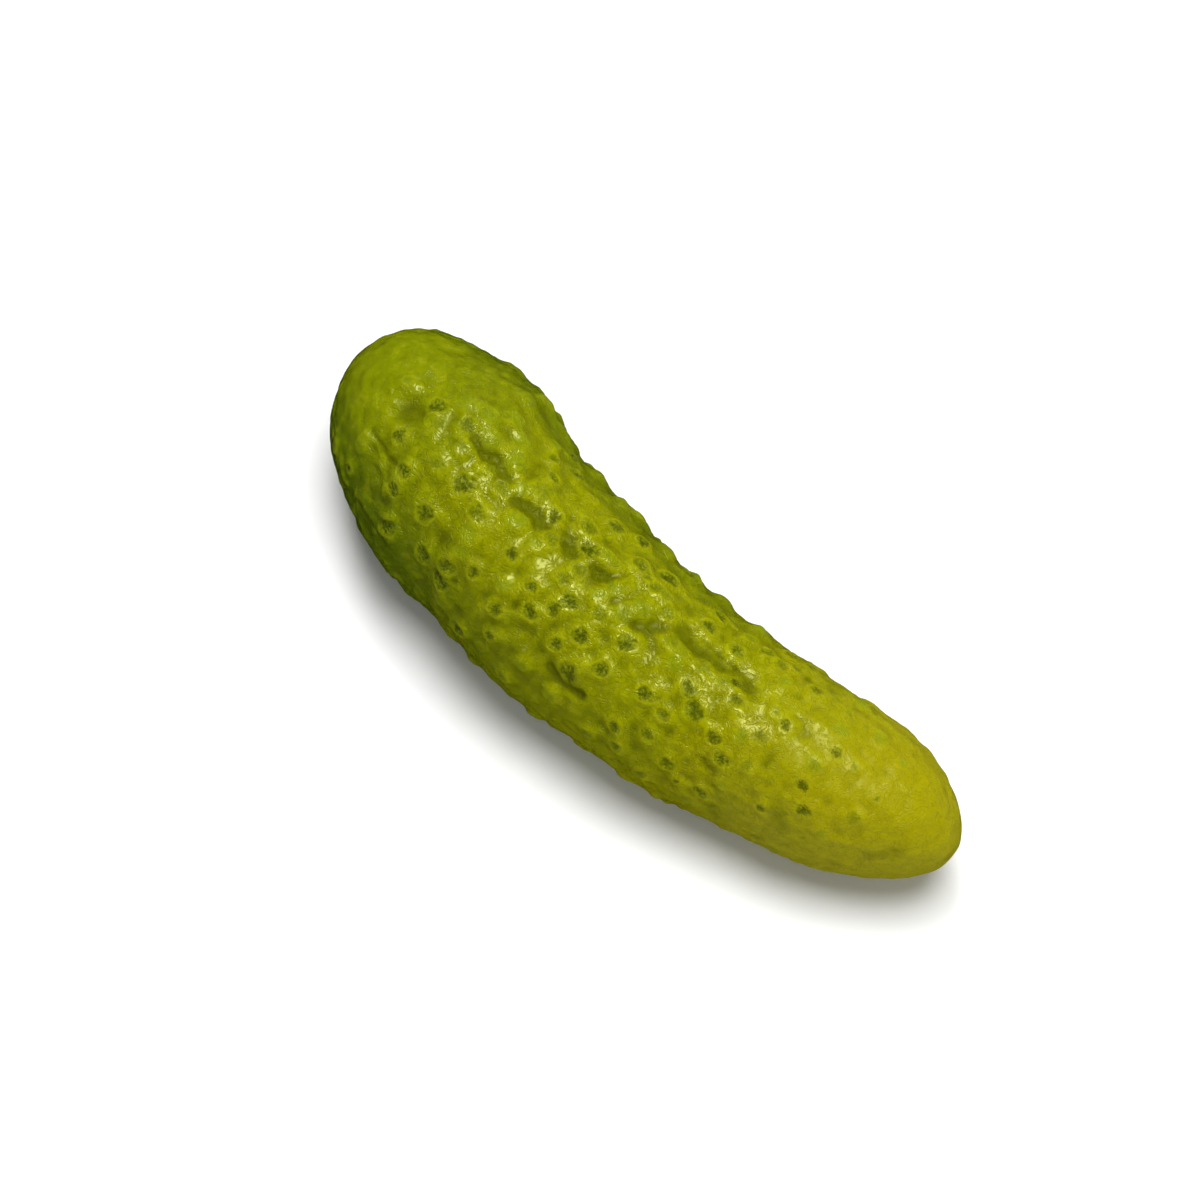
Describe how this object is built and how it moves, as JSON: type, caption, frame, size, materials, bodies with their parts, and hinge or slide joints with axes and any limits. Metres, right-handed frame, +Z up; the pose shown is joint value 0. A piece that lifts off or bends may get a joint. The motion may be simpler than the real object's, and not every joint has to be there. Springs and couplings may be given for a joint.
{
  "type": "pickled cucumber",
  "caption": "Whole pickled cucumber lying on its side: a slightly bent, warty body with a blunt stem end and a narrower blossom end.",
  "frame": {"origin": "under the middle of the body, on the surface that it lies on", "axes": "+X from the stem end to the blossom end, +Z up, the hollow side of the bend towards +Y"},
  "size_m": [0.0988, 0.032, 0.0297],
  "materials": {
    "skin": "wet, waxy, yellow-green skin"
  },
  "bodies": {
    "root": {"cucumber": "skin"}
  },
  "joints": []
}
